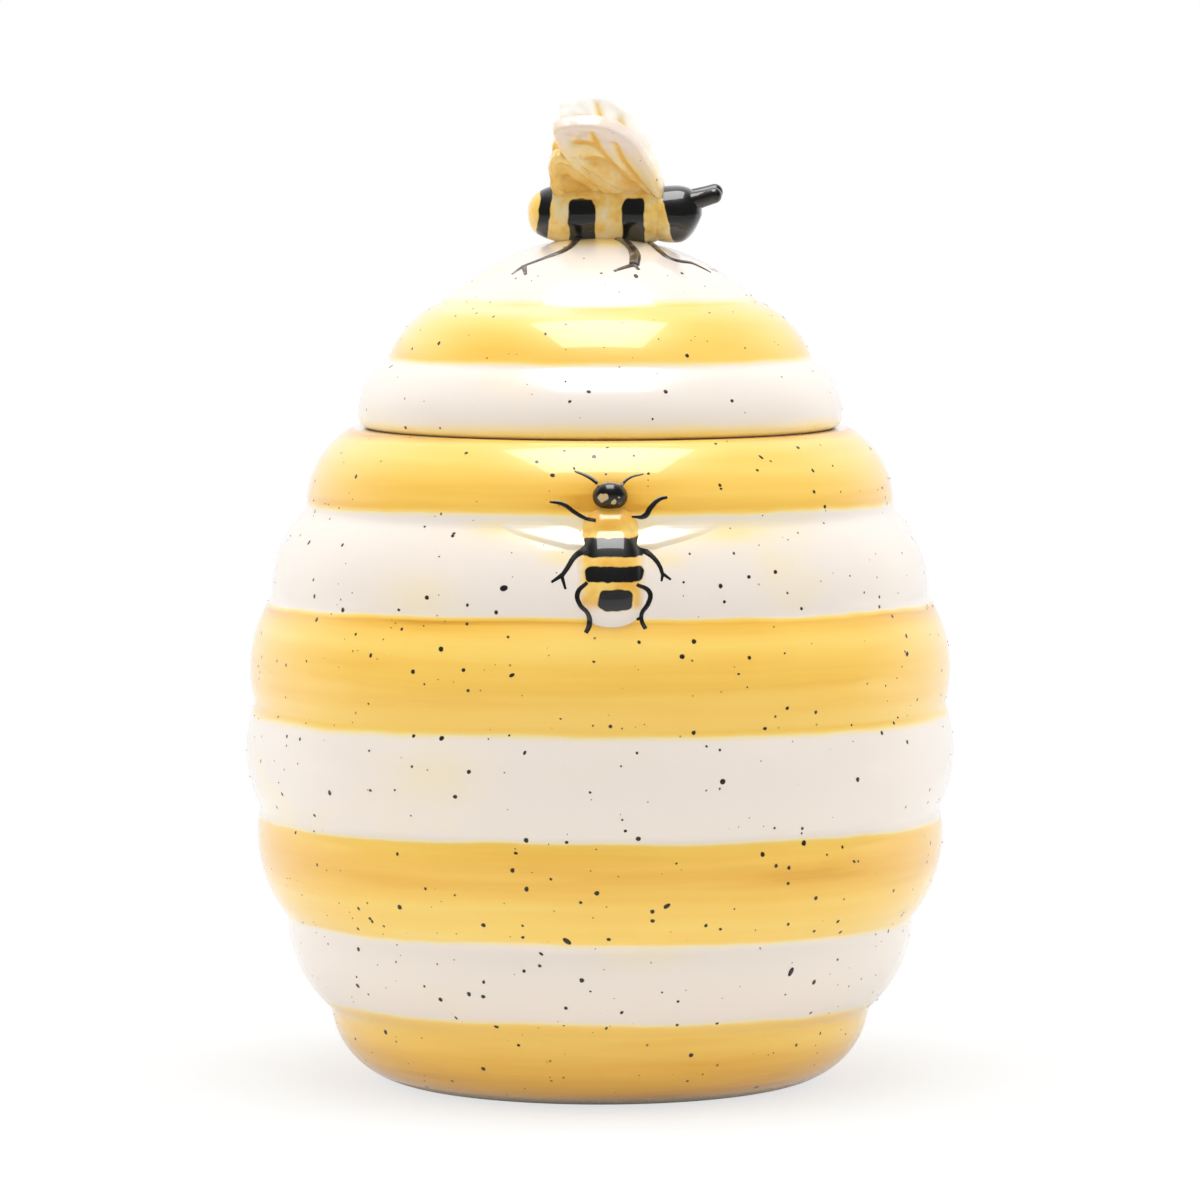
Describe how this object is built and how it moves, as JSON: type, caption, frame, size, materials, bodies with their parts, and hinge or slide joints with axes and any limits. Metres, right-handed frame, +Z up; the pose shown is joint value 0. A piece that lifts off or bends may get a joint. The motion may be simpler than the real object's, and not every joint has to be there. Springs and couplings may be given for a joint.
{
  "type": "honey pot",
  "caption": "Glazed ceramic honey pot in the form of a coiled hive, with a flanged lift-off lid, a bee for its knob and a relief bee on the front.",
  "frame": {"origin": "centre of the foot ring, on the surface that the pot stands on", "axes": "+Z up along the pot's axis, -Y towards the front with the relief bee, +X the way the knob bee faces"},
  "size_m": [0.1002, 0.1002, 0.1391],
  "materials": {
    "banded_glaze": "glossy clear glaze over yellow and white painted bands with dark specks",
    "bee_yellow_glaze": "glossy glaze over ochre yellow with black bands",
    "bee_black_glaze": "glossy black glaze",
    "wing_glaze": "glossy glaze, cream with ochre veins",
    "relief_wing_glaze": "glossy white glaze with a pale yellow wash"
  },
  "bodies": {
    "pot": {"pot_body": "banded_glaze", "front_bee_body": "bee_yellow_glaze", "front_bee_head": "bee_black_glaze", "front_bee_left_wing": "relief_wing_glaze", "front_bee_right_wing": "relief_wing_glaze"},
    "lid": {"lid_shell": "banded_glaze", "knob_bee_body": "bee_yellow_glaze", "knob_bee_head": "bee_black_glaze", "knob_bee_left_antenna": "bee_black_glaze", "knob_bee_right_antenna": "bee_black_glaze", "knob_bee_left_forewing": "wing_glaze", "knob_bee_right_forewing": "wing_glaze", "knob_bee_left_hindwing": "wing_glaze", "knob_bee_right_hindwing": "wing_glaze", "knob_bee_legs": "bee_black_glaze"}
  },
  "joints": [
    {"name": "lid_lift", "type": "slide", "parent": "pot", "child": "lid", "axis": [0, 0, 1], "range_m": [0, 0.06]}
  ]
}
